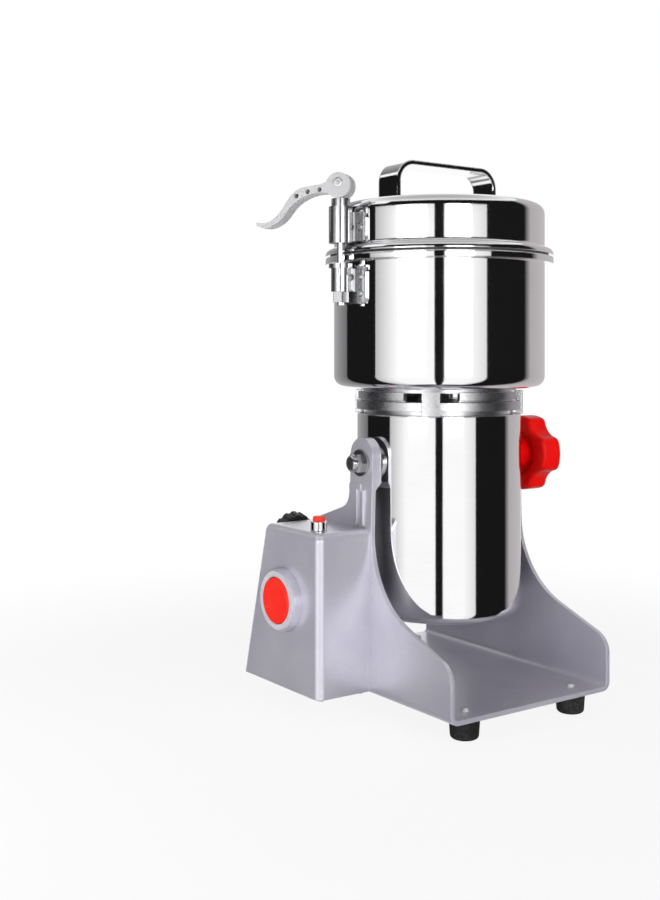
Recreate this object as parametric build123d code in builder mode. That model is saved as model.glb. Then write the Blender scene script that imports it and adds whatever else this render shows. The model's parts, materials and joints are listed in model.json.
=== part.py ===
from build123d import *
from math import cos, radians, sin, tan
import os

# Electric spice grinder with a tilting body, in millimetres.
# X runs along the tilt axis (control housing at -X, lock knob at +X), -Y is the front,
# +Z is up, and the table is Z = 0. The pieces are drawn about the axis of motor, cup and lid,
# and moved at the end so that the origin is the middle of the object's box on the table.

# Clearances
run_gap = 0.1
shaft_gap = 0.05
seat_gap = 0.1
slide_gap = 0.3

# Base frame: a cast channel with two bell-shaped side walls
foot_height = 14
side_space = 12.5
base_half_depth = 95
base_wall = 3
wall_lean = 2.5
lean_start = 64
fold_radius = 6
shoulder_height = 48.5
shoulder_round = 14
flank_slope = 21
flare_radius = 60
upright_half = 12.5
pivot_height = 167
boss_radius = 12.5
boss_lift = 4.3
boss_drop = 18
boss_chamfer = 5
rib_offset = 3.5
rib_width = 1.5
rib_height = 1.2
rib_length = 24

# Control housing on the left wall
housing_front = -11
housing_back = 54
housing_bottom = 16
housing_height = 107.5
housing_reach = 40
housing_lean = 14.5
housing_skew = 1
housing_wall = 3
housing_round = 5
gusset_rise = 14.5
gusset_end = 0.5
gusset_round = 12
post_radius = 4.5
post_height = 16
post_inset = 6
cover_thick = 2
cover_screw_radius = 1.5
cover_screw_length = 12
cover_head_radius = 3
cover_head_height = 1.6

# Start button
button_y = 29
button_lift = 5.5
button_boss_radius = 21
button_boss_height = 5.5
button_radius = 15.5
button_stand = 1
button_dome = 1.5
button_skirt = 9
button_stem_radius = 4
button_stem_reach = 2
button_travel = 4
bezel_wall = 1.7
bezel_flange = 2
bezel_flange_thick = 1.2
bezel_barrel = 16
bezel_nut_width = 3
bezel_nut_thick = 3
switch_width = 28
switch_depth = 13

# Timer on the housing's leaning back
timer_reach = 12.2
timer_drop = 11.5
timer_knob_radius = 15
timer_knob_height = 8
timer_knob_lift = 1.5
timer_scallops = 14
timer_scallop_radius = 2.2
timer_knob_round = 0.8
timer_body_width = 20
timer_body_rise = 5
timer_body_depth = 14
timer_stem_radius = 3
timer_stem_reach = 8
timer_neck_radius = 5
timer_nut_width = 12
timer_nut_thick = 1

# Overload breaker on the housing's top
breaker_reach = 28
breaker_y = 6
breaker_collar_radius = 5.5
breaker_collar_height = 6
breaker_neck_radius = 5
breaker_width = 14
breaker_length = 18
breaker_depth = 24
reset_radius = 4
reset_stand = 3.3
reset_travel = 2
reset_reach = 4

# Cable gland in the housing back
gland_reach = 20
gland_z = 40
gland_radius = 8
gland_bore = 4
gland_throat = 4.6
gland_neck_radius = 6
gland_stand = 16
gland_grip = 10
gland_flange = 4
gland_taper = 8
gland_nut_width = 19
gland_nut_thick = 4

# Feet
foot_inset_x = 23
foot_inset_y = 14
foot_radius = 10
foot_taper = 1
foot_round = 2.5
foot_screw_radius = 2
foot_screw_length = 11
foot_head_radius = 2.8
foot_head_height = 1.8

# Tilt pivot and lock knob
stud_radius = 4
stud_grip = 12
trunnion_radius = 12
trunnion_stand = 1.1
trunnion_thick = 8
trunnion_half = 18
washer_thick = 1.5
washer_radius = 11
outer_washer_radius = 9
nut_width = 12
nut_height = 5
nut_dome = 3
nut_taper = 15
nut_dome_round = 2.5
knob_radius = 27.5
knob_thick = 18
knob_lobes = 4
knob_scallop_radius = 14
knob_scallop_depth = 5
knob_lobe_round = 5
knob_hub_radius = 11
knob_hub_length = 7.3
knob_stud_depth = 8
knob_rim = 6
knob_pocket = 3
knob_round = 3

# Motor
motor_radius = 57.5
shell_wall = 1.5
shell_rise = 32
shell_height = 138
shell_round = 7
vent_count = 8
vent_radius = 4
vent_inset = 21.5
bracket_neck = 3
bracket_band = 6
band_proud = 0.3
bracket_lip = 6
bracket_wall = 7
bracket_groove = 4
bracket_web = 4
lug_count = 4
lug_width = 12
lug_depth = 4.5
lug_proud = 1.3
lug_rise = 0.6
seat_neck = 1.3
seat_band = 5.3
seat_skirt = 3
seat_wall = 3
seat_plate = 3
window_half_angle = 19
seat_height = 9
bolt_inset = 17.5
bolt_radius = 2.5
bolt_head_radius = 4.5
bolt_head_height = 2.5
bolt_length = 12
pillar_radius = 5
shaft_radius = 6
bearing_radius = 16
bearing_width = 10
bearing_hub_wall = 4
bearing_lip = 3
bearing_rise = 4
lower_web_rise = 5
lower_web = 5
stack_rise = 47
stack_share = 0.69
pole_depth = 14.4
stator_back = 9
pole_half_angle = 48
coil_half_angle = 76
coil_gap = 0.5
coil_overhang = 8
air_gap = 0.7
rotor_slots = 12
slot_width = 3
slot_depth = 4
winding_height = 9
winding_inset = 3.8
commutator_radius = 15
commutator_height = 18
commutator_gap = 2
brush_width = 8
brush_height = 10
brush_length = 14
holder_wall = 2
fan_drop = 27
fan_inset = 13.5
fan_hub_radius = 11
fan_eye_radius = 20
fan_blades = 9
fan_blade_height = 9
fan_plate = 1.5

# Grinding cup and blades
cup_overhang = 16.5
cup_height = 90
cup_wall = 2
cup_floor = 2.5
cup_round = 8
rim_width = 6
rim_thick = 4.4
seal_radius = 13
seal_flange_radius = 18
seal_flange = 2.5
seal_height = 8
blade_rise = 14
blade_clear = 8
blade_step = 10
blade_width = 24
blade_tip = 13
blade_tip_round = 4
blade_thick = 3
blade_edge = 1.2
blade_bore_radius = 5
spacer_length = 14
spacer_radius = 9
blade_nut_width = 18
blade_nut_height = 9
shaft_end = 2

# Lid
gasket_thick = 1.5
gasket_inset = 1.5
gasket_width = 4
lid_flange = 5
lid_wall = 2
lid_height = 35.8
lid_round = 7
lid_flange_round = 4.2
lid_flange_fillet = 1.7
handle_inset = 29
handle_rise = 28.7
handle_width = 21
handle_thick = 3
handle_bend = 14.5
handle_tab = 16
handle_rivet_y = 6

# Cam clamp between lid and cup
post_stand = 4.5
rod_radius = 2.5
plate_thick = 1.6
plate_half = 14
plate_round = 4
sleeve_radius = 8
sleeve_drop = 6.3
sleeve_lift = 0.3
lower_sleeve_radius = 6.5
lower_sleeve_height = 15.5
lower_flange = 3
lower_flange_radius = 8
lower_flange_drop = 2.5
sleeve_slots = 8
sleeve_slot_width = 1.4
sleeve_slot_depth = 1.2
sleeve_slot_height = 5
lid_plate_lift = 1.8
lid_plate_height = 19.2
cup_plate_drop = 4
cup_plate_height = 25
web_half = 4
rivet_radius = 1.5
rivet_head_radius = 2.5
rivet_head = 1.2
rivet_taper = 30
screw_taper = 20
rivet_y = 9
cup_rivet_spread = 11
clamp_nut_width = 10
clamp_nut_height = 7
rod_end = 2
collar_radius = 6.3
collar_height = 5.2
eye_radius = 8.5
eye_half = 6
cam_offset = 2
fork_slot = 5.6
fork_clear = 1.2
pin_radius = 3
pin_proud = 0.6
rod_eye_radius = 5
rod_eye_thick = 5.2
lever_turn = 35
lever_length = 58.5
lever_drop = 24.5
lever_hole_radius = 1.6

# Rim catch opposite the clamp
catch_half = 8
catch_thick = 2.5
catch_leg = 16
catch_clear = 1.2
catch_hook = 3
catch_lift = 0.4
catch_rivet_y = 4

# Lever outline and holes, as shares of its length and drop from the pin
lever_upper = [
    (0.068, 0.184), (0.222, -0.041), (0.41, -0.09), (0.547, -0.245), (0.684, -0.673), (0.855, -1), (1, -1)
]
lever_lower = [
    (1, -1.102), (0.855, -1.143), (0.701, -0.959), (0.564, -0.592), (0.427, -0.376), (0.068, -0.327)
]
lever_holes = [(0.222, -0.184), (0.368, -0.224), (0.504, -0.327)]

# Derived places
base_half_width = motor_radius + side_space
foot_x = base_half_width - foot_inset_x
foot_y = base_half_depth - foot_inset_y
floor_top = foot_height + base_wall
frame_top = pivot_height + boss_lift + boss_radius
wall_inner = base_half_width - base_wall
upright_face = base_half_width - wall_lean
flank_top = shoulder_height + (base_half_depth - upright_half) * tan(radians(flank_slope))
housing_top = housing_bottom + housing_height
button_z = (housing_bottom + housing_top) / 2 + button_lift
timer_x = -base_half_width - timer_reach
timer_z = housing_top - timer_drop
breaker_x = -base_half_width - breaker_reach
gland_x = -base_half_width - gland_reach
cover_top = housing_bottom + cover_thick
control_ceiling = housing_top - housing_wall
bezel_bore = button_radius + slide_gap
bezel_radius = bezel_bore + bezel_wall
trunnion_face = motor_radius + trunnion_stand
boss_inner = trunnion_face + washer_thick + run_gap
outer_washer_face = upright_face + slide_gap + washer_thick
knob_face = outer_washer_face + run_gap
disc_face = knob_face + knob_hub_length
shell_top = pivot_height + shell_rise
motor_bottom = shell_top - shell_height
shell_inner = motor_radius - shell_wall
shell_floor = motor_bottom + shell_wall
band_bottom = shell_top + bracket_neck
band_top = band_bottom + bracket_band
skirt_bottom = band_top + seat_neck
skirt_top = skirt_bottom + seat_band
neck_radius = motor_radius - seat_skirt
vent_circle = motor_radius - vent_inset
bolt_circle = motor_radius - bolt_inset
cup_bottom = band_top + seat_height
seat_underside = cup_bottom - seat_plate
cup_radius = motor_radius + cup_overhang
cup_inner = cup_radius - cup_wall
rim_radius = cup_radius + rim_width
rim_top = cup_bottom + cup_height
cup_floor_top = cup_bottom + cup_floor
rim_bottom = rim_top - rim_thick
lid_bottom = rim_top + gasket_thick
lid_flange_top = lid_bottom + lid_flange
lid_top = lid_bottom + lid_height
gasket_inner = cup_radius - gasket_inset
gasket_outer = gasket_inner + gasket_width
handle_leg = cup_radius - handle_inset
lid_inner = cup_radius - lid_wall
stack_bottom = motor_bottom + stack_rise
fan_z = shell_top - fan_drop
stack_height = stack_share * (fan_z - winding_height - stack_bottom)
stack_top = stack_bottom + stack_height
yoke_outer = shell_inner - seat_gap
yoke_inner = yoke_outer - stator_back
stator_bore = yoke_inner - pole_depth
armature_radius = stator_bore - air_gap
winding_radius = armature_radius - winding_inset
fan_radius = motor_radius - fan_inset
upper_bearing_z = band_top - bracket_web - bearing_width
hub_radius = bearing_radius + bearing_hub_wall
lower_bearing_z = motor_bottom + bearing_rise
lower_web_z = lower_bearing_z + lower_web_rise
lower_web_top = lower_web_z + lower_web
commutator_z = stack_bottom - winding_height - commutator_gap - commutator_height
brush_z = commutator_z + commutator_height / 2
blade_z = cup_bottom + blade_rise
blade_radius = cup_inner - blade_clear
upper_blade_radius = blade_radius - blade_step
spacer_z = blade_z + blade_thick
upper_blade_z = spacer_z + spacer_length
blade_nut_z = upper_blade_z + blade_thick
shaft_top = blade_nut_z + blade_nut_height + shaft_end
plate_inner = cup_radius + seat_gap
plate_outer = plate_inner + plate_thick
post_x = -rim_radius - post_stand
sleeve_bottom = lid_flange_top + sleeve_lift
sleeve_top = lid_top - sleeve_drop
lid_plate_bottom = lid_flange_top + lid_plate_lift
cup_plate_top = rim_bottom - cup_plate_drop
cup_plate_bottom = cup_plate_top - cup_plate_height
lower_flange_top = rim_bottom - lower_flange_drop
lower_sleeve_top = lower_flange_top - lower_flange
lower_sleeve_bottom = lower_sleeve_top - lower_sleeve_height
clamp_nut_top = lower_sleeve_bottom - seat_gap
collar_bottom = sleeve_top + run_gap
collar_top = collar_bottom + collar_height
pin_z = collar_top + run_gap + eye_radius + cam_offset


def wall_face(height):
    """X of a wall's outer face at a height: upright at first, then leaning in."""
    return base_half_width - wall_lean * max(0, height - lean_start) / (pivot_height - lean_start)


def back_edge(height):
    """Y of the housing's leaning back face at a height."""
    return housing_back + (housing_top - height) * tan(radians(housing_lean))


def outer_edge(y):
    """X of the housing's skewed outer face at a depth."""
    return -(base_half_width + housing_reach) - (y - housing_front) * tan(radians(housing_skew))


def housing_block(inner_x, bottom, inset):
    """The housing's form, drawn in by an inset on every outer face."""
    far_back = 2 * base_half_depth
    shift = inset / cos(radians(housing_skew))
    with BuildPart() as block:
        with BuildSketch(Plane.YZ.offset(inner_x)):
            with BuildLine():
                Polyline(
                    (housing_front, bottom),
                    (back_edge(bottom), bottom),
                    (housing_back, housing_top),
                    (housing_front, housing_top),
                    close=True,
                )
            make_face()
            if inset:
                offset(amount=-inset, kind=Kind.INTERSECTION, mode=Mode.REPLACE)
        extrude(amount=-2 * housing_reach)
        with BuildSketch():
            with BuildLine():
                Polyline(
                    (0, -far_back),
                    (outer_edge(-far_back) + shift, -far_back),
                    (outer_edge(far_back) + shift, far_back),
                    (0, far_back),
                    close=True,
                )
            make_face()
        extrude(amount=frame_top, mode=Mode.INTERSECT)
    return block.part


def rivet(plane, grip):
    """A rivet set square to a plane: head outside, shank through the grip, head inside."""
    with BuildPart() as body:
        with BuildSketch(plane):
            Circle(rivet_head_radius)
        extrude(amount=rivet_head, taper=rivet_taper)
        with BuildSketch(plane):
            Circle(rivet_radius)
        extrude(amount=-(grip + rivet_head))
        with BuildSketch(plane.offset(-grip)):
            Circle(rivet_head_radius)
        extrude(amount=-rivet_head)
    return body.part


def screw(plane, shank_radius, length, head_radius, head_height):
    """A pan-head screw whose head stands on a plane and whose shank goes in behind it."""
    with BuildPart() as body:
        with BuildSketch(plane):
            Circle(head_radius)
        extrude(amount=head_height, taper=screw_taper)
        with BuildSketch(plane):
            Circle(shank_radius)
        extrude(amount=-length)
    return body.part


def ring(plane, radius, bore, height):
    """A plain ring standing on a plane about the plane's origin."""
    with BuildPart() as body:
        with BuildSketch(plane):
            Circle(radius)
            Circle(bore, mode=Mode.SUBTRACT)
        extrude(amount=height)
    return body.part


def hex_nut(plane, width, bore, height):
    """A plain hexagon nut standing on a plane."""
    with BuildPart() as body:
        with BuildSketch(plane):
            RegularPolygon(width / 2, 6, major_radius=False)
            Circle(bore, mode=Mode.SUBTRACT)
        extrude(amount=height)
    return body.part


def sector(inner, outer, half_angle, turn, bottom, height):
    """A part of a ring about Z, spread to both sides of a direction."""
    far = 2 * outer / cos(radians(half_angle))
    corners = [
        (far * cos(radians(turn + side * half_angle)), far * sin(radians(turn + side * half_angle)))
        for side in (-1, 1)
    ]
    with BuildPart() as body:
        with BuildSketch(Plane.XY.offset(bottom)):
            Circle(outer)
            Circle(inner, mode=Mode.SUBTRACT)
            with BuildLine():
                Polyline((0, 0), *corners, close=True)
            make_face(mode=Mode.INTERSECT)
        extrude(amount=height)
    return body.part


def blade(radius, bottom, turn):
    """A flat two-armed blade with ground edges, turned about Z."""
    with BuildPart() as body:
        with BuildSketch(Plane.XY.offset(bottom).rotated((0, 0, turn))) as outline:
            with BuildLine():
                Polyline(
                    (radius, -blade_tip / 2),
                    (radius, blade_tip / 2),
                    (0, blade_width / 2),
                    (-radius, blade_tip / 2),
                    (-radius, -blade_tip / 2),
                    (0, -blade_width / 2),
                    close=True,
                )
            make_face()
            fillet(outline.vertices().group_by(SortBy.DISTANCE)[-1], blade_tip_round)
            Circle(blade_bore_radius + shaft_gap, mode=Mode.SUBTRACT)
        extrude(amount=blade_thick)
        top_edges = body.faces().sort_by(Axis.Z)[-1].outer_wire().edges()
        chamfer(top_edges, blade_edge)
    return body.part


def radial_plane(radius, y, z, side):
    """Plane touching a cylinder about Z at a given Y and height, facing outwards."""
    x = side * (radius**2 - y**2) ** 0.5
    return Plane(origin=(x, y, z), x_dir=(-y, x, 0), z_dir=(x, y, 0))


def pivot_plane(x, side):
    """Plane square to the tilt axis, facing outwards on its side."""
    return Plane(origin=(side * x, 0, pivot_height), x_dir=(0, side, 0), z_dir=(side, 0, 0))


def pivot_boss(side):
    """Round-headed boss on an upright, chamfered where its inner face ends below."""
    with BuildPart() as boss:
        with BuildSketch(pivot_plane(boss_inner, side)):
            with Locations((0, boss_lift)):
                Circle(boss_radius)
                Rectangle(2 * upright_half, boss_lift + boss_drop, align=(Align.CENTER, Align.MAX))
        extrude(amount=upright_face - boss_inner)
        foot_edges = boss.edges().filter_by(Axis.Y).group_by(Axis.Z)[0]
        chamfer(foot_edges.sort_by(lambda e: abs(e.center().X))[0], boss_chamfer)
    return boss.part


def post_plane(z):
    """Level plane about the clamp rod's axis."""
    return Plane(origin=(post_x, 0, z))


# Planes square to the housing's skewed and leaning faces
skew = radians(housing_skew)
lean = radians(housing_lean)
button_face = Plane(
    origin=(outer_edge(button_y), button_y, button_z),
    x_dir=(sin(skew), -cos(skew), 0),
    z_dir=(-cos(skew), -sin(skew), 0),
)
boss_front = button_face.offset(button_boss_height)
gland_face = Plane(
    origin=(gland_x, back_edge(gland_z), gland_z),
    x_dir=(-1, 0, 0),
    z_dir=(0, cos(lean), sin(lean)),
)
timer_face = Plane(
    origin=(timer_x, back_edge(timer_z), timer_z),
    x_dir=(-1, 0, 0),
    z_dir=(0, cos(lean), sin(lean)),
)
breaker_top = Plane(origin=(breaker_x, breaker_y, housing_top))

# Places of the repeated fasteners
housing_posts = [
    (x, y)
    for y in (housing_front + post_inset, back_edge(housing_bottom) - 2 * post_inset)
    for x in (-base_half_width - housing_wall, outer_edge(y) + post_inset)
]
foot_points = [(x, y) for x in (-foot_x, foot_x) for y in (-foot_y, foot_y)]
diagonals = [45 + 360 / lug_count * i for i in range(lug_count)]
bolt_points = [(bolt_circle * cos(radians(a)), bolt_circle * sin(radians(a))) for a in diagonals]
lid_plate_middle = lid_plate_bottom + lid_plate_height / 2
cup_plate_middle = cup_plate_bottom + cup_plate_height / 2
lid_rivet_planes = [radial_plane(plate_outer, y, lid_plate_middle, -1) for y in (-rivet_y, rivet_y)]
cup_rivet_planes = [
    radial_plane(plate_outer, y, cup_plate_middle + rise * cup_rivet_spread / 2, -1)
    for y in (-rivet_y, rivet_y)
    for rise in (-1, 1)
]
catch_outer = plate_inner + catch_thick
catch_jog_top = rim_bottom - slide_gap
catch_bottom = catch_jog_top - catch_thick - catch_leg
catch_rivet_planes = [
    Plane(
        origin=(catch_outer, y, catch_bottom + catch_leg / 2),
        x_dir=(0, 1, 0),
        z_dir=(1, 0, 0),
    )
    for y in (-catch_rivet_y, catch_rivet_y)
]
handle_rivet_planes = [
    Plane(origin=(side * (handle_leg - handle_thick - handle_tab / 2), y, lid_top + handle_thick))
    for side in (-1, 1)
    for y in (-handle_rivet_y, handle_rivet_y)
]
rivet_hole = rivet_radius + seat_gap

# The housing is one casting with the frame: outer form with rounded edges, then its cavity
with BuildPart() as housing:
    add(housing_block(-wall_inner, housing_bottom, 0))
    outer_edges = housing.edges().filter_by(
        lambda e: e.center().X < -wall_inner - 1 and e.center().Z > housing_bottom + 1
    )
    fillet(outer_edges, housing_round)
pivot_bosses = [pivot_boss(side) for side in (-1, 1)]
housing_cavity = housing_block(-base_half_width, housing_bottom - 2 * housing_wall, housing_wall)

with BuildPart() as base_frame:
    # Channel section with rounded folds and walls that lean in
    with BuildSketch(Plane.XZ) as channel:
        with BuildLine():
            Polyline(
                (-base_half_width, foot_height),
                (base_half_width, foot_height),
                (base_half_width, lean_start),
                (wall_face(frame_top), frame_top),
                (-wall_face(frame_top), frame_top),
                (-base_half_width, lean_start),
                close=True,
            )
        make_face()
        fillet(channel.vertices().group_by(Axis.Y)[0], fold_radius)
    extrude(amount=base_half_depth, both=True)
    with BuildSketch(Plane.XZ) as channel_inside:
        inside_high = wall_face(2 * frame_top) - base_wall
        with BuildLine():
            Polyline(
                (-wall_inner, floor_top),
                (wall_inner, floor_top),
                (wall_inner, lean_start),
                (inside_high, 2 * frame_top),
                (-inside_high, 2 * frame_top),
                (-wall_inner, lean_start),
                close=True,
            )
        make_face()
        fillet(channel_inside.vertices().group_by(Axis.Y)[0], fold_radius - base_wall)
    extrude(amount=base_half_depth, both=True, mode=Mode.SUBTRACT)
    # Bell outline of the walls: wide foot, concave flare, upright with a round head
    with BuildSketch(Plane.YZ) as bell:
        with BuildLine():
            Polyline(
                (-base_half_depth, foot_height),
                (base_half_depth, foot_height),
                (base_half_depth, shoulder_height),
                (upright_half, flank_top),
                (upright_half, pivot_height + boss_lift),
                (-upright_half, pivot_height + boss_lift),
                (-upright_half, flank_top),
                (-base_half_depth, shoulder_height),
                close=True,
            )
        make_face()
        fillet(bell.vertices().group_by(Axis.Y)[2], flare_radius)
        fillet(bell.vertices().group_by(Axis.Y)[1], shoulder_round)
        with Locations((0, pivot_height + boss_lift)):
            Circle(boss_radius)
    extrude(amount=base_half_width, both=True, mode=Mode.INTERSECT)
    # Gusset behind the left upright, running down to the housing's back
    with BuildSketch(Plane.YZ.offset(-wall_face(housing_top))) as gusset:
        with BuildLine():
            Polyline(
                (0, housing_top - housing_round),
                (0, housing_top + 2 * gusset_rise),
                (upright_half, housing_top + 2 * gusset_rise),
                (upright_half, housing_top + gusset_rise),
                (housing_back, housing_top + gusset_end),
                (housing_back, housing_top - housing_round),
                close=True,
            )
        make_face()
        notch = gusset.vertices().sort_by_distance((upright_half, housing_top + gusset_rise, 0))[0]
        fillet(notch, gusset_round)
    extrude(amount=base_wall)
    add(housing.part)
    add(pivot_bosses)
    with BuildSketch(Plane.YZ):
        with Locations((0, pivot_height)):
            Circle(stud_radius + run_gap)
    extrude(amount=2 * base_half_width, both=True, mode=Mode.SUBTRACT)
    # Ribs under the left pivot
    rib_top = pivot_height - boss_drop
    with BuildSketch(Plane.YZ.offset(-upright_face)):
        with Locations((-rib_offset, rib_top), (rib_offset, rib_top)):
            Rectangle(rib_width, rib_length, align=(Align.CENTER, Align.MAX))
    extrude(amount=upright_face - wall_face(rib_top - rib_length) - rib_height)
    # Raised button boss, housing cavity and posts for the cover's screws
    with BuildSketch(button_face):
        Circle(button_boss_radius)
    extrude(amount=button_boss_height)
    add(housing_cavity, mode=Mode.SUBTRACT)
    with BuildSketch(Plane.XY.offset(cover_top)):
        with Locations(*housing_posts):
            Circle(post_radius)
    extrude(amount=post_height)
    with BuildSketch(Plane.XY.offset(cover_top)):
        with Locations(*housing_posts):
            Circle(cover_screw_radius + seat_gap)
    extrude(amount=cover_screw_length, mode=Mode.SUBTRACT)
    # Holes for button, timer, breaker, gland and the feet's screws
    with BuildSketch(boss_front):
        Circle(bezel_radius + seat_gap)
    extrude(amount=-(button_boss_height + 2 * housing_wall), mode=Mode.SUBTRACT)
    with BuildSketch(timer_face):
        Circle(timer_neck_radius + seat_gap)
    extrude(amount=-2 * housing_wall, mode=Mode.SUBTRACT)
    with BuildSketch(breaker_top):
        Circle(breaker_neck_radius + seat_gap)
    extrude(amount=-2 * housing_wall, mode=Mode.SUBTRACT)
    with BuildSketch(gland_face):
        Circle(gland_neck_radius + seat_gap)
    extrude(amount=-2 * housing_wall, mode=Mode.SUBTRACT)
    with BuildSketch(Plane.XY.offset(foot_height)):
        with Locations(*foot_points):
            Circle(foot_screw_radius + seat_gap)
    extrude(amount=base_wall, mode=Mode.SUBTRACT)

# Bottom cover of the control housing, let into the housing's walls
with BuildPart() as box_cover:
    add(
        housing_block(
            -base_half_width - slide_gap,
            housing_bottom - 2 * housing_wall,
            housing_wall + slide_gap,
        )
    )
    with BuildSketch(Plane.XY.offset(housing_bottom)):
        Rectangle(4 * base_half_depth, 4 * base_half_depth)
    extrude(amount=cover_thick, mode=Mode.INTERSECT)
    with BuildSketch(Plane.XY.offset(housing_bottom)):
        with Locations(*housing_posts):
            Circle(cover_screw_radius + seat_gap)
    extrude(amount=cover_thick, mode=Mode.SUBTRACT)

cover_screw_set = [
    screw(
        Plane(origin=(x, y, housing_bottom), z_dir=(0, 0, -1)),
        cover_screw_radius,
        cover_screw_length,
        cover_head_radius,
        cover_head_height,
    )
    for x, y in housing_posts
]
with BuildPart() as cover_screws:
    add(cover_screw_set)

with BuildPart() as rubber_feet:
    with Locations(*foot_points):
        Cone(
            foot_radius - foot_taper,
            foot_radius,
            foot_height,
            align=(Align.CENTER, Align.CENTER, Align.MIN),
        )
    fillet(rubber_feet.edges().group_by(Axis.Z)[0], foot_round)
    with BuildSketch(Plane.XY.offset(foot_height)):
        with Locations(*foot_points):
            Circle(foot_screw_radius + seat_gap)
    extrude(amount=-foot_screw_length, mode=Mode.SUBTRACT)

foot_screw_set = [
    screw(
        Plane(origin=(x, y, floor_top)),
        foot_screw_radius,
        foot_screw_length,
        foot_head_radius,
        foot_head_height,
    )
    for x, y in foot_points
]
with BuildPart() as foot_screws:
    add(foot_screw_set)

# Start button: bezel through the boss, nut behind the wall, switch on the barrel's end
with BuildPart() as button_bezel:
    with BuildSketch(boss_front):
        Circle(bezel_radius + bezel_flange)
    extrude(amount=bezel_flange_thick)
    with BuildSketch(boss_front):
        Circle(bezel_radius)
    extrude(amount=-bezel_barrel)
    with BuildSketch(boss_front.offset(bezel_flange_thick)):
        Circle(bezel_bore)
    extrude(amount=-(bezel_flange_thick + bezel_barrel), mode=Mode.SUBTRACT)

with BuildPart() as bezel_nut:
    add(
        ring(
            button_face.offset(-housing_wall),
            bezel_radius + bezel_nut_width,
            bezel_radius + seat_gap,
            -bezel_nut_thick,
        )
    )

button_front = boss_front.offset(bezel_flange_thick + button_stand)
barrel_end = boss_front.offset(-bezel_barrel)
stem_length = button_stand + bezel_flange_thick + bezel_barrel + button_stem_reach
with BuildPart() as start_switch:
    with BuildSketch(barrel_end):
        RectangleRounded(switch_width, switch_width, bezel_wall)
    extrude(amount=-switch_depth)
    with BuildSketch(barrel_end):
        Circle(button_stem_radius + slide_gap)
    extrude(amount=-(button_stem_reach + button_travel + slide_gap), mode=Mode.SUBTRACT)

with BuildPart() as start_button:
    with BuildSketch(button_front):
        Circle(button_radius)
    extrude(amount=-button_skirt)
    button_rim = start_button.edges().sort_by_distance(button_front.origin)
    fillet(button_rim.filter_by(lambda e: button_front.to_local_coords(e.center()).Z > -0.01), button_dome)
    with BuildSketch(button_front.offset(-button_skirt / 2)):
        Circle(button_stem_radius)
    extrude(amount=-(stem_length - button_skirt / 2))

# Timer: clockwork behind the housing's leaning back, nut outside, knob on the stem
with BuildPart() as timer_unit:
    with BuildSketch(timer_face.offset(-housing_wall)):
        with Locations((0, timer_body_rise)):
            Rectangle(timer_body_width, timer_body_width, align=(Align.CENTER, Align.MAX))
    extrude(amount=-timer_body_depth)
    with BuildSketch(timer_face.offset(-housing_wall)):
        Circle(timer_neck_radius)
    extrude(amount=housing_wall + timer_nut_thick)
    with BuildSketch(timer_face.offset(timer_nut_thick)):
        Circle(timer_stem_radius + run_gap)
    extrude(
        amount=-(timer_nut_thick + housing_wall + timer_stem_reach + slide_gap), mode=Mode.SUBTRACT
    )

with BuildPart() as timer_nut:
    add(hex_nut(timer_face, timer_nut_width, timer_neck_radius + seat_gap, timer_nut_thick))

with BuildPart() as timer_knob:
    with BuildSketch(timer_face.offset(timer_knob_lift)):
        Circle(timer_knob_radius)
        with PolarLocations(timer_knob_radius + timer_scallop_radius / 2, timer_scallops):
            Circle(timer_scallop_radius, mode=Mode.SUBTRACT)
    extrude(amount=timer_knob_height)
    knob_end = timer_knob.faces().sort_by(lambda f: timer_face.to_local_coords(f.center()).Z)[-1]
    fillet(knob_end.edges(), timer_knob_round)
    with BuildSketch(timer_face.offset(timer_knob_lift)):
        Circle(timer_stem_radius)
    extrude(amount=-(timer_knob_lift + housing_wall + timer_stem_reach))

# Overload breaker: body under the housing's top, collar through it, reset button in the collar
breaker_seat = breaker_top.offset(-housing_wall)
reset_drop = housing_wall + reset_reach
with BuildPart() as breaker_unit:
    with BuildSketch(breaker_seat):
        Rectangle(breaker_width, breaker_length)
    extrude(amount=-breaker_depth)
    with BuildSketch(breaker_seat):
        Circle(reset_radius + slide_gap)
    extrude(amount=-(reset_reach + reset_travel + slide_gap), mode=Mode.SUBTRACT)

with BuildPart() as breaker_collar:
    with BuildSketch(breaker_top):
        Circle(breaker_collar_radius)
    extrude(amount=breaker_collar_height)
    fillet(breaker_collar.edges().group_by(Axis.Z)[-1], breaker_collar_radius - breaker_neck_radius)
    with BuildSketch(breaker_seat):
        Circle(breaker_neck_radius)
    extrude(amount=housing_wall)
    with BuildSketch(breaker_seat):
        Circle(reset_radius + slide_gap)
    extrude(amount=housing_wall + breaker_collar_height, mode=Mode.SUBTRACT)

with BuildPart() as reset_button:
    with BuildSketch(breaker_top.offset(breaker_collar_height + reset_stand)):
        Circle(reset_radius)
    extrude(amount=-(reset_stand + breaker_collar_height + reset_drop))
    fillet(reset_button.edges().group_by(Axis.Z)[-1], reset_radius / 4)

# Cable gland and its nut
with BuildPart() as cable_gland:
    with BuildSketch(gland_face):
        RegularPolygon(gland_nut_width / 2, 6, major_radius=False)
    extrude(amount=gland_flange)
    with BuildSketch(gland_face.offset(gland_flange)):
        Circle(gland_radius)
    extrude(amount=gland_stand - gland_flange, taper=gland_taper)
    with BuildSketch(gland_face):
        Circle(gland_neck_radius)
    extrude(amount=-(housing_wall + gland_nut_thick))
    with BuildSketch(gland_face.offset(gland_stand)):
        Circle(gland_bore)
    extrude(amount=-gland_grip, mode=Mode.SUBTRACT)
    with BuildSketch(gland_face.offset(gland_stand - gland_grip)):
        Circle(gland_throat)
    extrude(amount=-(gland_stand - gland_grip + housing_wall + gland_nut_thick), mode=Mode.SUBTRACT)

with BuildPart() as gland_nut:
    add(
        hex_nut(
            gland_face.offset(-housing_wall),
            gland_nut_width,
            gland_neck_radius + seat_gap,
            -gland_nut_thick,
        )
    )

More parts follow.
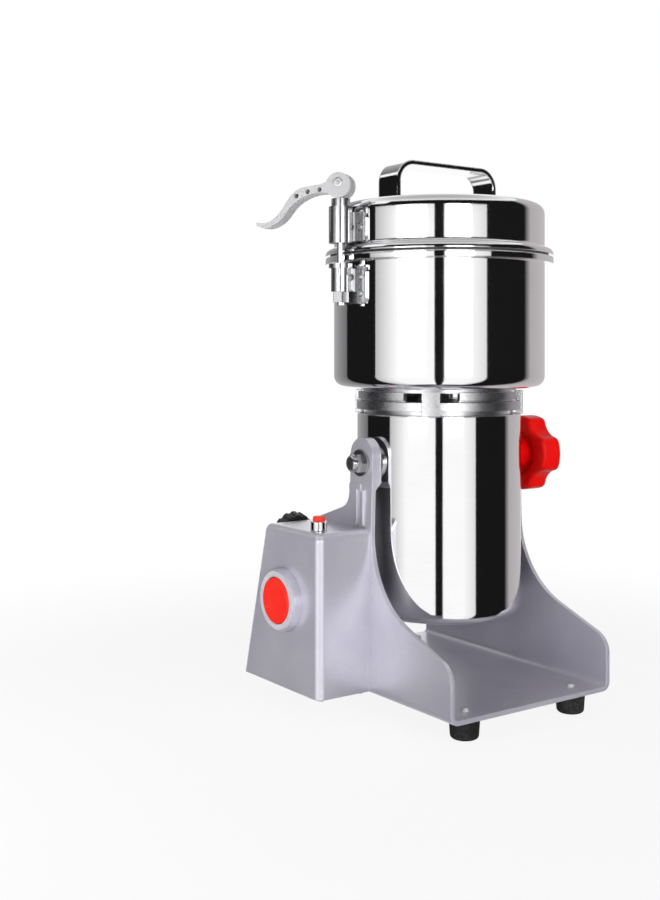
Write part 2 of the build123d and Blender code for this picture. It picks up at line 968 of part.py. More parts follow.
# Motor can with a drawn bottom, air holes and the two pivot holes
with BuildPart() as motor_shell:
    with BuildSketch(Plane.XZ) as can:
        with Locations((0, motor_bottom)):
            Rectangle(motor_radius, shell_top - motor_bottom, align=(Align.MIN, Align.MIN))
        fillet(can.vertices().sort_by_distance((motor_radius, motor_bottom, 0))[0], shell_round)
    revolve(axis=Axis.Z)
    with BuildSketch(Plane.XZ) as can_inside:
        with Locations((0, shell_floor)):
            Rectangle(shell_inner, shell_top - shell_floor, align=(Align.MIN, Align.MIN))
        inner_corner = can_inside.vertices().sort_by_distance((shell_inner, shell_floor, 0))[0]
        fillet(inner_corner, shell_round - shell_wall)
    revolve(axis=Axis.Z, mode=Mode.SUBTRACT)
    with BuildSketch(Plane.XY.offset(motor_bottom)):
        with PolarLocations(vent_circle, vent_count):
            Circle(vent_radius)
    extrude(amount=shell_wall, mode=Mode.SUBTRACT)
    with BuildSketch(Plane.YZ):
        with Locations((0, pivot_height)):
            Circle(trunnion_radius + seat_gap)
    extrude(amount=2 * motor_radius, both=True, mode=Mode.SUBTRACT)

# Blocks inside the can that carry the pivots, with a boss through the can's wall
with BuildPart() as trunnion_blocks:
    for side in (-1, 1):
        with BuildSketch(pivot_plane(shell_inner - trunnion_thick, side)):
            RectangleRounded(2 * trunnion_half, 2 * trunnion_half, stud_radius)
        extrude(amount=trunnion_thick)
    with BuildSketch():
        Circle(shell_inner - seat_gap)
    extrude(amount=frame_top + boss_radius, mode=Mode.INTERSECT)
    for side in (-1, 1):
        with BuildSketch(pivot_plane(shell_inner - trunnion_thick, side)):
            Circle(trunnion_radius)
        extrude(amount=trunnion_face - shell_inner + trunnion_thick)
        with BuildSketch(pivot_plane(shell_inner - trunnion_thick, side)):
            Circle(stud_radius + seat_gap)
        extrude(amount=trunnion_face - shell_inner + trunnion_thick, mode=Mode.SUBTRACT)

friction_washer_pair = [
    ring(pivot_plane(trunnion_face, side), washer_radius, stud_radius + run_gap, washer_thick)
    for side in (-1, 1)
]
with BuildPart() as friction_washers:
    add(friction_washer_pair)

outer_washer_pair = [
    ring(pivot_plane(outer_washer_face, side), outer_washer_radius, stud_radius + run_gap, -washer_thick)
    for side in (-1, 1)
]
with BuildPart() as outer_washers:
    add(outer_washer_pair)

stud_start = trunnion_face - stud_grip
with BuildPart() as pivot_studs:
    with BuildSketch(pivot_plane(stud_start, -1)):
        Circle(stud_radius)
    extrude(amount=outer_washer_face + nut_height - stud_start)
    with BuildSketch(pivot_plane(stud_start, 1)):
        Circle(stud_radius)
    extrude(amount=disc_face + knob_stud_depth - stud_start)

# Cap nut on the left pivot
with BuildPart() as pivot_nut:
    with BuildSketch(pivot_plane(outer_washer_face, -1)):
        RegularPolygon(nut_width / 2, 6, major_radius=False)
    extrude(amount=nut_height)
    with BuildSketch(pivot_plane(outer_washer_face + nut_height, -1)):
        Circle(nut_width / 2)
    extrude(amount=nut_dome, taper=nut_taper)
    fillet(pivot_nut.edges().group_by(Axis.X)[0], nut_dome_round)
    with BuildSketch(pivot_plane(outer_washer_face, -1)):
        Circle(stud_radius + seat_gap)
    extrude(amount=nut_height + seat_gap, mode=Mode.SUBTRACT)

# Star knob with four lobes, hollowed from the inner side
with BuildPart() as lock_knob:
    with BuildSketch(pivot_plane(disc_face, 1)) as star:
        Circle(knob_radius)
        scallop_circle = knob_radius + knob_scallop_radius - knob_scallop_depth
        with PolarLocations(scallop_circle, knob_lobes, start_angle=180 / knob_lobes):
            Circle(knob_scallop_radius, mode=Mode.SUBTRACT)
        fillet(star.vertices(), knob_lobe_round)
    extrude(amount=knob_thick)
    rims = lock_knob.edges().group_by(Axis.X)
    fillet(rims[0] + rims[-1], knob_round)
    with BuildSketch(pivot_plane(disc_face, 1)):
        Circle(knob_radius - knob_scallop_depth - knob_rim)
    extrude(amount=knob_pocket, mode=Mode.SUBTRACT)
    with BuildSketch(pivot_plane(knob_face, 1)):
        Circle(knob_hub_radius)
    extrude(amount=knob_hub_length + knob_pocket)
    with BuildSketch(pivot_plane(knob_face, 1)):
        Circle(stud_radius + shaft_gap)
    extrude(amount=knob_hub_length + knob_stud_depth + seat_gap, mode=Mode.SUBTRACT)

# Cast top bracket: spigot in the can, band, bearing hub, cup pillars and four lugs
with BuildPart() as motor_top_bracket:
    spigot_radius = shell_inner - seat_gap
    with BuildSketch(Plane.XY.offset(shell_top - bracket_lip)):
        Circle(spigot_radius)
        Circle(spigot_radius - bracket_wall, mode=Mode.SUBTRACT)
    extrude(amount=bracket_lip + bracket_neck + bracket_band)
    with BuildSketch(Plane.XY.offset(shell_top)):
        Circle(spigot_radius)
        Circle(spigot_radius - bracket_groove, mode=Mode.SUBTRACT)
    extrude(amount=bracket_neck, mode=Mode.SUBTRACT)
    with BuildSketch(Plane.XY.offset(band_bottom)):
        Circle(motor_radius + band_proud)
        Circle(spigot_radius - bracket_wall, mode=Mode.SUBTRACT)
    extrude(amount=bracket_band)
    with BuildSketch(Plane.XY.offset(band_top - bracket_web)):
        Circle(spigot_radius)
    extrude(amount=bracket_web)
    with BuildSketch(Plane.XY.offset(upper_bearing_z - bearing_lip)):
        Circle(hub_radius)
    extrude(amount=bearing_lip + bearing_width)
    with BuildSketch(Plane.XY.offset(band_top)):
        with Locations(*bolt_points):
            Circle(pillar_radius)
    extrude(amount=seat_underside - band_top)
    with BuildSketch(Plane.XY.offset(upper_bearing_z - bearing_lip)):
        Circle(bearing_radius + seat_gap)
    extrude(amount=bearing_lip + bearing_width, mode=Mode.SUBTRACT)
    with BuildSketch(Plane.XY.offset(band_top)):
        Circle(bearing_radius - bearing_lip)
    extrude(amount=-bracket_web, mode=Mode.SUBTRACT)
    with BuildSketch(Plane.XY.offset(seat_underside)):
        with Locations(*bolt_points):
            Circle(bolt_radius + seat_gap)
    extrude(amount=cup_floor + seat_plate - bolt_length, mode=Mode.SUBTRACT)
    with BuildSketch(Plane.XY.offset(shell_top + seat_gap)):
        with PolarLocations(0, lug_count, start_angle=diagonals[0]):
            Rectangle(2 * motor_radius, lug_width, align=(Align.MIN, Align.CENTER))
        Circle(motor_radius + lug_proud, mode=Mode.INTERSECT)
        Circle(motor_radius + lug_proud - lug_depth, mode=Mode.SUBTRACT)
    extrude(amount=skirt_top + lug_rise - shell_top - seat_gap)

# Seat ring under the cup, with a window round each lug
windows = [
    sector(
        neck_radius - 2 * seat_wall,
        motor_radius + seat_skirt,
        window_half_angle,
        turn,
        band_top,
        skirt_top - band_top,
    )
    for turn in diagonals
]
with BuildPart() as cup_seat_ring:
    with BuildSketch(Plane.XY.offset(band_top)):
        Circle(neck_radius)
        Circle(neck_radius - seat_wall, mode=Mode.SUBTRACT)
    extrude(amount=skirt_top - band_top)
    with BuildSketch(Plane.XY.offset(skirt_bottom)):
        Circle(motor_radius)
        Circle(neck_radius - seat_wall, mode=Mode.SUBTRACT)
    extrude(amount=seat_band)
    add(windows, mode=Mode.SUBTRACT)
    with BuildSketch(Plane.XY.offset(seat_underside)):
        Circle(motor_radius + lug_proud - lug_depth - slide_gap)
        Circle(seal_radius + seat_gap, mode=Mode.SUBTRACT)
    extrude(amount=seat_plate)
    with BuildSketch(Plane.XY.offset(seat_underside)):
        with Locations(*bolt_points):
            Circle(bolt_radius + seat_gap)
    extrude(amount=seat_plate, mode=Mode.SUBTRACT)

with BuildPart() as lower_bearing_bracket:
    with BuildSketch(Plane.XY.offset(lower_web_z)):
        Circle(shell_inner - seat_gap)
        with PolarLocations(vent_circle, vent_count, start_angle=180 / vent_count):
            Circle(2 * vent_radius, mode=Mode.SUBTRACT)
    extrude(amount=lower_web)
    with BuildSketch(Plane.XY.offset(shell_floor)):
        Circle(hub_radius)
    extrude(amount=lower_web_top - shell_floor)
    with BuildSketch(Plane.XY.offset(lower_bearing_z)):
        Circle(bearing_radius + seat_gap)
    extrude(amount=lower_web_top - lower_bearing_z, mode=Mode.SUBTRACT)

bearing_pair = [
    ring(Plane.XY.offset(z), bearing_radius, shaft_radius + shaft_gap, bearing_width)
    for z in (lower_bearing_z, upper_bearing_z)
]
with BuildPart() as shaft_bearings:
    add(bearing_pair)

# Stator stack with two poles, and a saddle coil round each pole
poles = [
    sector(stator_bore, yoke_outer, pole_half_angle, turn, stack_bottom, stack_height)
    for turn in (90, 270)
]
with BuildPart() as stator_core:
    add(ring(Plane.XY.offset(stack_bottom), yoke_outer, yoke_inner, stack_height))
    add(poles)

coil_spaces = [
    sector(
        stator_bore + coil_gap,
        yoke_inner - coil_gap,
        coil_half_angle,
        turn,
        stack_bottom - coil_overhang,
        stack_height + 2 * coil_overhang,
    )
    for turn in (90, 270)
]
pole_spaces = [
    sector(
        stator_bore - coil_gap,
        yoke_outer,
        pole_half_angle + coil_gap,
        turn,
        stack_bottom - coil_gap,
        stack_height + 2 * coil_gap,
    )
    for turn in (90, 270)
]
with BuildPart() as field_coils:
    add(coil_spaces)
    add(pole_spaces, mode=Mode.SUBTRACT)

# Brush holders on the lower bracket, and their brushes on the commutator
holder_start = commutator_radius + holder_wall
brush_end = commutator_radius + run_gap + brush_length
with BuildPart() as brush_holders:
    for side in (-1, 1):
        with BuildSketch(Plane.XY.offset(lower_web_top)):
            with Locations((side * (holder_start + brush_end + holder_wall) / 2, 0)):
                Rectangle(brush_end + holder_wall - holder_start, brush_width + 2 * holder_wall)
        extrude(amount=brush_z + brush_height / 2 + holder_wall - lower_web_top)
    with BuildSketch(Plane.YZ.offset(-brush_end - seat_gap)):
        with Locations((0, brush_z)):
            Rectangle(brush_width + 2 * seat_gap, brush_height + 2 * seat_gap)
    extrude(amount=2 * (brush_end + seat_gap), mode=Mode.SUBTRACT)

with BuildPart() as carbon_brushes:
    with BuildSketch(Plane.YZ.offset(-brush_end)):
        with Locations((0, brush_z)):
            Rectangle(brush_width, brush_height)
    extrude(amount=2 * brush_end)
    with BuildSketch(Plane.XY.offset(lower_web_top)):
        Circle(commutator_radius + run_gap)
    extrude(amount=stack_bottom - lower_web_top, mode=Mode.SUBTRACT)

# Rotor: stepped shaft, slotted core, end windings, commutator and fan
with BuildPart() as rotor_shaft:
    with BuildSketch(Plane.XY.offset(lower_bearing_z)):
        Circle(shaft_radius)
    extrude(amount=blade_z - lower_bearing_z)
    with BuildSketch(Plane.XY.offset(blade_z)):
        Circle(blade_bore_radius)
    extrude(amount=shaft_top - blade_z)
    chamfer(rotor_shaft.edges().group_by(Axis.Z)[-1], shaft_end / 2)

with BuildPart() as armature_core:
    with BuildSketch(Plane.XY.offset(stack_bottom)):
        Circle(armature_radius)
        Circle(shaft_radius + shaft_gap, mode=Mode.SUBTRACT)
        with PolarLocations(armature_radius, rotor_slots):
            Rectangle(2 * slot_depth, slot_width, mode=Mode.SUBTRACT)
    extrude(amount=stack_height)

winding_pair = [
    ring(Plane.XY.offset(z), winding_radius, shaft_radius + shaft_gap, winding_height)
    for z in (stack_bottom - winding_height, stack_top)
]
with BuildPart() as armature_windings:
    add(winding_pair)
    fillet(armature_windings.edges().group_by(Axis.Z)[0].sort_by(SortBy.LENGTH)[-1:], winding_height / 2)
    fillet(armature_windings.edges().group_by(Axis.Z)[-1].sort_by(SortBy.LENGTH)[-1:], winding_height / 2)

with BuildPart() as commutator:
    add(
        ring(
            Plane.XY.offset(commutator_z), commutator_radius, shaft_radius + shaft_gap, commutator_height
        )
    )

with BuildPart() as cooling_fan:
    with BuildSketch(Plane.XY.offset(fan_z)):
        Circle(fan_radius)
    extrude(amount=fan_plate)
    with BuildSketch(Plane.XY.offset(fan_z)):
        Circle(fan_hub_radius)
        with PolarLocations(fan_eye_radius, fan_blades):
            Rectangle(fan_radius - fan_eye_radius - fan_plate, fan_plate, align=(Align.MIN, Align.CENTER))
    extrude(amount=fan_plate + fan_blade_height)
    with BuildSketch(Plane.XY.offset(fan_z)):
        Circle(shaft_radius + shaft_gap)
    extrude(amount=fan_plate + fan_blade_height, mode=Mode.SUBTRACT)

# Grinding cup with a rolled rim
with BuildPart() as grinding_cup:
    with BuildSketch(Plane.XZ) as bowl:
        with Locations((0, cup_bottom)):
            Rectangle(cup_radius, rim_top - cup_bottom, align=(Align.MIN, Align.MIN))
        fillet(bowl.vertices().sort_by_distance((cup_radius, cup_bottom, 0))[0], cup_round)
        with Locations((0, rim_bottom)):
            Rectangle(rim_radius, rim_thick, align=(Align.MIN, Align.MIN))
    revolve(axis=Axis.Z)
    with BuildSketch(Plane.XZ) as bowl_inside:
        with Locations((0, cup_floor_top)):
            Rectangle(cup_inner, rim_top - cup_floor_top, align=(Align.MIN, Align.MIN))
        bowl_corner = bowl_inside.vertices().sort_by_distance((cup_inner, cup_floor_top, 0))[0]
        fillet(bowl_corner, cup_round - cup_wall)
    revolve(axis=Axis.Z, mode=Mode.SUBTRACT)
    with BuildSketch(Plane.XY.offset(cup_bottom)):
        Circle(seal_radius + seat_gap)
        with Locations(*bolt_points):
            Circle(bolt_radius + seat_gap)
    extrude(amount=cup_floor, mode=Mode.SUBTRACT)
    with BuildSketch(*cup_rivet_planes, *catch_rivet_planes):
        Circle(rivet_hole)
    extrude(amount=-2 * (cup_wall + catch_thick), mode=Mode.SUBTRACT)

cup_screw_set = [
    screw(Plane(origin=(x, y, cup_floor_top)), bolt_radius, bolt_length, bolt_head_radius, bolt_head_height)
    for x, y in bolt_points
]
with BuildPart() as cup_screws:
    add(cup_screw_set)

with BuildPart() as shaft_seal:
    with BuildSketch(Plane.XY.offset(seat_underside)):
        Circle(seal_radius)
    extrude(amount=cup_floor_top + seal_height - seat_underside)
    fillet(shaft_seal.edges().group_by(Axis.Z)[-1], seal_flange)
    with BuildSketch(Plane.XY.offset(cup_floor_top)):
        Circle(seal_flange_radius)
    extrude(amount=seal_flange)
    with BuildSketch(Plane.XY.offset(seat_underside)):
        Circle(shaft_radius + run_gap)
    extrude(amount=cup_floor_top + seal_height - seat_underside, mode=Mode.SUBTRACT)

with BuildPart() as lower_blade:
    add(blade(blade_radius, blade_z, 0))

with BuildPart() as blade_spacer:
    add(ring(Plane.XY.offset(spacer_z), spacer_radius, blade_bore_radius + shaft_gap, spacer_length))

with BuildPart() as upper_blade:
    add(blade(upper_blade_radius, upper_blade_z, 90))

with BuildPart() as blade_nut:
    nut_bore = blade_bore_radius + shaft_gap
    add(hex_nut(Plane.XY.offset(blade_nut_z), blade_nut_width, nut_bore, blade_nut_height))

# Lid: drawn shell, gasket under its flange, bent strip handle
with BuildPart() as lid_shell:
    with BuildSketch(Plane.XZ) as dome:
        with Locations((0, lid_bottom)):
            Rectangle(cup_radius, lid_top - lid_bottom, align=(Align.MIN, Align.MIN))
        fillet(dome.vertices().sort_by_distance((cup_radius, lid_top, 0))[0], lid_round)
        with Locations((0, lid_bottom)):
            Rectangle(rim_radius, lid_flange, align=(Align.MIN, Align.MIN))
        fillet(dome.vertices().sort_by_distance((rim_radius, lid_flange_top, 0))[0], lid_flange_round)
        fillet(dome.vertices().sort_by_distance((cup_radius, lid_flange_top, 0))[0], lid_flange_fillet)
    revolve(axis=Axis.Z)
    with BuildSketch(Plane.XZ) as dome_inside:
        with Locations((0, lid_bottom)):
            Rectangle(lid_inner, lid_top - lid_wall - lid_bottom, align=(Align.MIN, Align.MIN))
        dome_corner = dome_inside.vertices().sort_by_distance((lid_inner, lid_top - lid_wall, 0))[0]
        fillet(dome_corner, lid_round - lid_wall)
    revolve(axis=Axis.Z, mode=Mode.SUBTRACT)
    with BuildSketch(*lid_rivet_planes):
        Circle(rivet_hole)
    extrude(amount=-2 * (lid_wall + plate_thick), mode=Mode.SUBTRACT)
    with BuildSketch(*handle_rivet_planes):
        Circle(rivet_hole)
    extrude(amount=-2 * (lid_wall + handle_thick), mode=Mode.SUBTRACT)

with BuildPart() as lid_gasket:
    add(ring(Plane.XY.offset(rim_top + run_gap), gasket_outer, gasket_inner, gasket_thick - run_gap))

with BuildPart() as lid_handle:
    with BuildSketch(Plane.XZ) as strip:
        with Locations((0, lid_top)):
            Rectangle(2 * handle_leg, handle_rise, align=(Align.CENTER, Align.MIN))
        fillet(strip.vertices().group_by(Axis.Y)[-1], handle_bend)
        with BuildSketch(mode=Mode.SUBTRACT) as hand_hole:
            with Locations((0, lid_top)):
                Rectangle(
                    2 * (handle_leg - handle_thick),
                    handle_rise - handle_thick,
                    align=(Align.CENTER, Align.MIN),
                )
            fillet(hand_hole.vertices().group_by(Axis.Y)[-1], handle_bend - handle_thick)
        for side in (-1, 1):
            with Locations((side * (handle_leg - handle_thick - handle_tab / 2), lid_top)):
                Rectangle(handle_tab, handle_thick, align=(Align.CENTER, Align.MIN))
    extrude(amount=handle_width / 2, both=True)
    with BuildSketch(*handle_rivet_planes):
        Circle(rivet_hole)
    extrude(amount=-2 * handle_thick, mode=Mode.SUBTRACT)

handle_rivet_set = [rivet(plane, handle_thick + lid_wall) for plane in handle_rivet_planes]
with BuildPart() as handle_rivets:
    add(handle_rivet_set)


def bracket_plate(bottom, height):
    """Curved plate with rounded corners, lying on the cylinder of cup and lid at -X."""
    with BuildPart() as plate:
        with BuildSketch(Plane.YZ):
            with Locations((0, bottom + height / 2)):
                RectangleRounded(2 * plate_half, height, plate_round)
        extrude(amount=-2 * cup_radius)
        with BuildSketch(Plane.XY.offset(bottom)):
            Circle(plate_outer)
            Circle(plate_inner, mode=Mode.SUBTRACT)
        extrude(amount=height, mode=Mode.INTERSECT)
    return plate.part


def bracket_web(bottom, height):
    """Flat web between the curved plate and the sleeve round the clamp rod."""
    with BuildPart() as web:
        with BuildSketch(Plane.XY.offset(bottom)):
            with Locations((post_x, 0)):
                Rectangle(-post_x, 2 * web_half, align=(Align.MIN, Align.CENTER))
            Circle(plate_inner, mode=Mode.SUBTRACT)
        extrude(amount=height)
    return web.part


# Upper half of the clamp, on the lid
lid_plate = bracket_plate(lid_plate_bottom, lid_plate_height)
lid_web = bracket_web(lid_plate_bottom, lid_plate_height)
with BuildPart() as lid_bracket:
    add(lid_plate)
    add(lid_web)
    with BuildSketch(post_plane(sleeve_bottom)):
        Circle(sleeve_radius)
    extrude(amount=sleeve_top - sleeve_bottom)
    with BuildSketch(post_plane(sleeve_bottom)):
        Circle(rod_radius + run_gap)
    extrude(amount=sleeve_top - sleeve_bottom, mode=Mode.SUBTRACT)
    with BuildSketch(*lid_rivet_planes):
        Circle(rivet_hole)
    extrude(amount=-2 * plate_thick, mode=Mode.SUBTRACT)

lid_rivet_set = [rivet(plane, plate_thick + lid_wall + 2 * seat_gap) for plane in lid_rivet_planes]
with BuildPart() as lid_bracket_rivets:
    add(lid_rivet_set)

# Lower half of the clamp, on the cup: slotted sleeve with a flange
cup_plate = bracket_plate(cup_plate_bottom, cup_plate_height)
cup_web = bracket_web(lower_sleeve_bottom, lower_sleeve_height)
with BuildPart() as cup_bracket:
    add(cup_plate)
    add(cup_web)
    with BuildSketch(post_plane(lower_sleeve_bottom)):
        Circle(lower_sleeve_radius)
    extrude(amount=lower_sleeve_height)
    with BuildSketch(post_plane(lower_sleeve_top)):
        Circle(lower_flange_radius)
    extrude(amount=lower_flange)
    with BuildSketch(post_plane(lower_sleeve_top)):
        with PolarLocations(lower_sleeve_radius, sleeve_slots):
            Rectangle(2 * sleeve_slot_depth, sleeve_slot_width)
    extrude(amount=-sleeve_slot_height, mode=Mode.SUBTRACT)
    with BuildSketch(post_plane(lower_sleeve_bottom)):
        Circle(rod_radius + seat_gap)
    extrude(amount=lower_flange_top - lower_sleeve_bottom, mode=Mode.SUBTRACT)
    with BuildSketch(*cup_rivet_planes):
        Circle(rivet_hole)
    extrude(amount=-2 * plate_thick, mode=Mode.SUBTRACT)

cup_rivet_set = [rivet(plane, plate_thick + cup_wall + 2 * seat_gap) for plane in cup_rivet_planes]
with BuildPart() as cup_bracket_rivets:
    add(cup_rivet_set)

# Clamp rod with a flat eye for the cam's pin, held by a nut under the lower sleeve
turn = radians(lever_turn)
lever_plane = Plane(
    origin=(post_x, 0, pin_z),
    x_dir=(-sin(turn), cos(turn), 0),
    z_dir=(cos(turn), sin(turn), 0),
)
rod_bottom = clamp_nut_top - clamp_nut_height - rod_end
with BuildPart() as clamp_rod:
    with BuildSketch(post_plane(rod_bottom)):
        Circle(rod_radius)
    extrude(amount=pin_z - rod_bottom)
    with BuildSketch(lever_plane):
        Circle(rod_eye_radius)
    extrude(amount=rod_eye_thick / 2, both=True)
    with BuildSketch(lever_plane):
        Circle(pin_radius + seat_gap)
    extrude(amount=rod_eye_thick, both=True, mode=Mode.SUBTRACT)

with BuildPart() as clamp_nut:
    add(hex_nut(post_plane(clamp_nut_top), clamp_nut_width, rod_radius + seat_gap, -clamp_nut_height))

with BuildPart() as thrust_collar:
    add(ring(post_plane(collar_bottom), collar_radius, rod_radius + seat_gap, collar_height))

with BuildPart() as cam_pin:
    with BuildSketch(lever_plane):
        Circle(pin_radius)
    extrude(amount=eye_half + pin_proud, both=True)


def lever_point(share):
    """A point of the lever's side view from its shares of length and drop."""
    return (share[0] * lever_length, share[1] * lever_drop)


# Cam lever: forked eye set off from the pin, and an arm that curves down beside the cup
with BuildPart() as cam_lever:
    with BuildSketch(lever_plane) as side_view:
        with BuildLine():
            upper = Spline(*[lever_point(share) for share in lever_upper])
            lower = Spline(*[lever_point(share) for share in lever_lower])
            Line(upper @ 1, lower @ 0)
            Line(lower @ 1, upper @ 0)
        make_face()
        with Locations((0, -cam_offset)):
            Circle(eye_radius)
        with Locations(*[lever_point(share) for share in lever_holes]):
            Circle(lever_hole_radius, mode=Mode.SUBTRACT)
        Circle(pin_radius + shaft_gap, mode=Mode.SUBTRACT)
    extrude(amount=eye_half, both=True)
    with BuildSketch(lever_plane):
        with Locations((rod_eye_radius + fork_clear, 0)):
            Rectangle(4 * eye_radius, 4 * eye_radius, align=(Align.MAX, Align.CENTER))
    extrude(amount=fork_slot / 2, both=True, mode=Mode.SUBTRACT)

# Catch on the far side: a bent strip riveted to the cup, hooked over the lid's flange
catch_wall = rim_radius + catch_clear
hook_bottom = lid_flange_top + catch_lift
with BuildPart() as rim_catch:
    with BuildSketch(Plane.XZ):
        with BuildLine():
            Polyline(
                (plate_inner, catch_bottom),
                (catch_outer, catch_bottom),
                (catch_outer, catch_jog_top - catch_thick),
                (catch_wall + catch_thick, catch_jog_top - catch_thick),
                (catch_wall + catch_thick, hook_bottom + catch_thick),
                (rim_radius - catch_hook, hook_bottom + catch_thick),
                (rim_radius - catch_hook, hook_bottom),
                (catch_wall, hook_bottom),
                (catch_wall, catch_jog_top),
                (plate_inner, catch_jog_top),
                close=True,
            )
        make_face()
    extrude(amount=catch_half, both=True)
    with BuildSketch(*catch_rivet_planes):
        Circle(rivet_hole)
    extrude(amount=-2 * catch_thick, mode=Mode.SUBTRACT)

catch_grip = catch_thick + cup_wall + catch_rivet_y * seat_gap + seat_gap
catch_rivet_set = [rivet(plane, catch_grip) for plane in catch_rivet_planes]
with BuildPart() as catch_rivets:
    add(catch_rivet_set)

pieces = {
    "base_frame": base_frame,
    "box_cover": box_cover,
    "cover_screws": cover_screws,
    "rubber_feet": rubber_feet,
    "foot_screws": foot_screws,
    "button_bezel": button_bezel,
    "bezel_nut": bezel_nut,
    "start_switch": start_switch,
    "start_button": start_button,
    "timer_unit": timer_unit,
    "timer_nut": timer_nut,
    "timer_knob": timer_knob,
    "breaker_unit": breaker_unit,
    "breaker_collar": breaker_collar,
    "reset_button": reset_button,
    "cable_gland": cable_gland,
    "gland_nut": gland_nut,
    "motor_shell": motor_shell,
    "trunnion_blocks": trunnion_blocks,
    "friction_washers": friction_washers,
    "outer_washers": outer_washers,
    "pivot_studs": pivot_studs,
    "pivot_nut": pivot_nut,
    "lock_knob": lock_knob,
    "motor_top_bracket": motor_top_bracket,
    "cup_seat_ring": cup_seat_ring,
    "lower_bearing_bracket": lower_bearing_bracket,
    "shaft_bearings": shaft_bearings,
    "stator_core": stator_core,
    "field_coils": field_coils,
    "brush_holders": brush_holders,
    "carbon_brushes": carbon_brushes,
    "rotor_shaft": rotor_shaft,
    "armature_core": armature_core,
    "armature_windings": armature_windings,
    "commutator": commutator,
    "cooling_fan": cooling_fan,
    "grinding_cup": grinding_cup,
    "cup_screws": cup_screws,
    "shaft_seal": shaft_seal,
    "lower_blade": lower_blade,
    "blade_spacer": blade_spacer,
    "upper_blade": upper_blade,
    "blade_nut": blade_nut,
    "lid_shell": lid_shell,
    "lid_gasket": lid_gasket,
    "lid_handle": lid_handle,
    "handle_rivets": handle_rivets,
    "lid_bracket": lid_bracket,
    "lid_bracket_rivets": lid_bracket_rivets,
    "cup_bracket": cup_bracket,
    "cup_bracket_rivets": cup_bracket_rivets,
    "clamp_rod": clamp_rod,
    "clamp_nut": clamp_nut,
    "thrust_collar": thrust_collar,
    "cam_pin": cam_pin,
    "cam_lever": cam_lever,
    "rim_catch": rim_catch,
    "catch_rivets": catch_rivets,
}

boxes = [piece.part.bounding_box() for piece in pieces.values()]
middle_x = (min(box.min.X for box in boxes) + max(box.max.X for box in boxes)) / 2
middle_y = (min(box.min.Y for box in boxes) + max(box.max.Y for box in boxes)) / 2
to_middle = Location((-middle_x, -middle_y, 0))
os.makedirs("parts", exist_ok=True)
for name, piece in pieces.items():
    placed = piece.part.moved(to_middle)
    placed.label = name
    export_step(placed, f"parts/{name}.step")
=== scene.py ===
import json
from math import atan2, cos, radians, sin

import bmesh
import bpy
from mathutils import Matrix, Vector

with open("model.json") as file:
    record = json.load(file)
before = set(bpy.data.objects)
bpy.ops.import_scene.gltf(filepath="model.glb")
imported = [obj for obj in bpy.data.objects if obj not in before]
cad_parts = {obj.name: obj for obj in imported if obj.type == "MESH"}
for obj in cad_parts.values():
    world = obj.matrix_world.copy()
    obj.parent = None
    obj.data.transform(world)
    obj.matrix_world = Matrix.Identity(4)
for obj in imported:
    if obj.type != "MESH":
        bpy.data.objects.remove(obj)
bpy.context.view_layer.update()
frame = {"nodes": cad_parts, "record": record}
scene = bpy.context.scene
scene.view_settings.view_transform = "Standard"

# Level camera: place in metres, heading in degrees, and pixels of a 660 x 900 image
CAMERA_PLACE = Vector((-0.5145, -0.6288, 0.2391))
CAMERA_HEADING = 34.7
CAMERA_NEAR = 0.01
IMAGE_HEIGHT = 900
FOCAL_PIXELS = 1157.6
HORIZON_ROW = 355.7
SENSOR = 36.0

# The axis of motor, cup and lid
AXIS_X = 0.0141

# Pale floor: half its width, its paper, and the distances between which it runs out into white from
# the share of white it has under the object
FLOOR_SIZE = 12.0
FLOOR_COLOUR = (0.96, 0.96, 0.965, 1)
FLOOR_ROUGHNESS = 0.9
FLOOR_SPECULAR = 0.1
FLOOR_FADE = (0.22, 0.60)
FLOOR_WHITE = 0.88

# Light on the object from the horizon and from overhead, and the rises between which it changes
AMBIENT = (0.62, 0.24)
AMBIENT_TURN = (0.0, 0.4)
# Ceiling above level mirrors: the rises between which it darkens, and its level overhead
CEILING_TURN = (0.6, 1.0)
CEILING = 0.45

# Cards that only reflections see: distance in metres, degrees between columns, lowest and highest edge
CARD_DISTANCE = 3.0
CARD_STEP = 4.0
PANEL = (-7.0, 0.733)
RING = (0.733, 3.0)
LOW_RING = (0.733, 1.75)
LINE = (-22.0, -7.0)
BELOW = (-60.0, -22.0)
DARK = (0.0085, 0.0085, 0.009)
GREY = (0.5, 0.5, 0.51)
WHITE = (1.0, 1.0, 1.0)
LEFT_PALE = (0.52, 0.51, 0.51)
RIGHT_PALE = (0.76, 0.76, 0.77)
LEFT_BACK = ((0.45, 0.445, 0.45), (0.16, 0.16, 0.165))
RIGHT_TURN = (DARK, (0.44, 0.41, 0.42))
RIGHT_BACK = ((0.44, 0.41, 0.42), (0.56, 0.53, 0.54))
# Each card: first and last bearing round the axis, counted from the camera's bearing; edges; colours at
# the first and the last bearing
CARDS = [
    (-164, -116, PANEL, *LEFT_BACK),
    (-116, -70, PANEL, DARK, DARK),
    (-70, -45, PANEL, LEFT_PALE, WHITE),
    (-45, -4.2, PANEL, WHITE, WHITE),
    (-4.2, 5.8, PANEL, DARK, DARK),
    (5.8, 34, PANEL, WHITE, WHITE),
    (34, 51.5, PANEL, WHITE, RIGHT_PALE),
    (51.5, 103, PANEL, DARK, DARK),
    (103, 114, PANEL, *RIGHT_TURN),
    (114, 165, PANEL, *RIGHT_BACK),
    (-164, -116, RING, *LEFT_BACK),
    (-116, -60, LOW_RING, DARK, DARK),
    (-60, 103, RING, DARK, DARK),
    (103, 114, RING, *RIGHT_TURN),
    (114, 165, RING, *RIGHT_BACK),
    (-180, 180, LINE, DARK, DARK),
    (-180, 180, BELOW, GREY, GREY),
]

